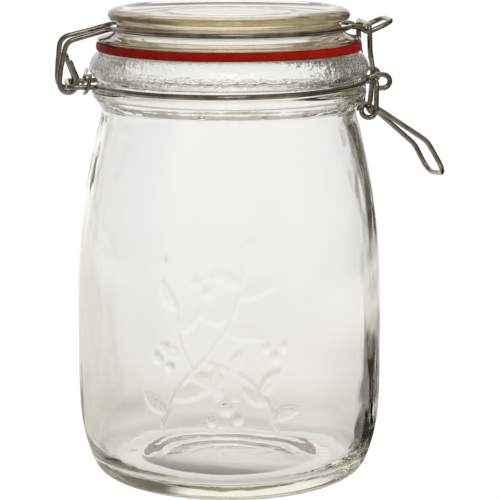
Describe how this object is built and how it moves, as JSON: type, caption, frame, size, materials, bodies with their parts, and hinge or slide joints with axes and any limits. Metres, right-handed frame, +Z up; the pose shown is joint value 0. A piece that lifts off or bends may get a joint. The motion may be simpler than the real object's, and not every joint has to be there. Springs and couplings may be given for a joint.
{
  "type": "clip top jar",
  "caption": "Clear glass storage jar with a hinged glass lid, a rubber sealing ring and an over-centre wire lever clip.",
  "frame": {"origin": "centre of the part's bounding box seen from above, on the surface the jar stands on; the jar's own axis is 8.2 mm towards the hinge", "axes": "+Z up along the jar's axis, +X from the wire hinge to the lever clip, so that the picture's viewer stands on the -Y side"},
  "size_m": [0.1447, 0.1136, 0.1746],
  "materials": {
    "clear_glass": "clear pressed glass, smooth",
    "red_rubber": "matt moulded rubber",
    "tinned_wire": "drawn steel wire, bright tin plate, slightly worn"
  },
  "bodies": {
    "jar": {"jar_glass": "clear_glass", "neck_wire": "tinned_wire", "neck_tie": "tinned_wire"},
    "lid": {"lid_glass": "clear_glass", "seal": "red_rubber", "lid_wire": "tinned_wire"},
    "lever": {"lever": "tinned_wire"},
    "link": {"link": "tinned_wire"}
  },
  "joints": [
    {"name": "lid_hinge", "type": "hinge", "parent": "jar", "child": "lid", "pos_m": [-0.0679, 0, 0.1471], "axis": [0, -1, 0], "range_deg": [0, 110]},
    {"name": "lever_pivot", "type": "hinge", "parent": "jar", "child": "lever", "pos_m": [0.0448, 0, 0.1476], "axis": [0, -1, 0], "range_deg": [0, 100]},
    {"name": "link_pivot", "type": "hinge", "parent": "lever", "child": "link", "pos_m": [0.0424, 0, 0.137], "axis": [0, -1, 0], "range_deg": [-72, 0]}
  ],
  "couplings": [
    {"joint": "link_pivot", "follows": "lever_pivot", "ratio": -0.7}
  ]
}
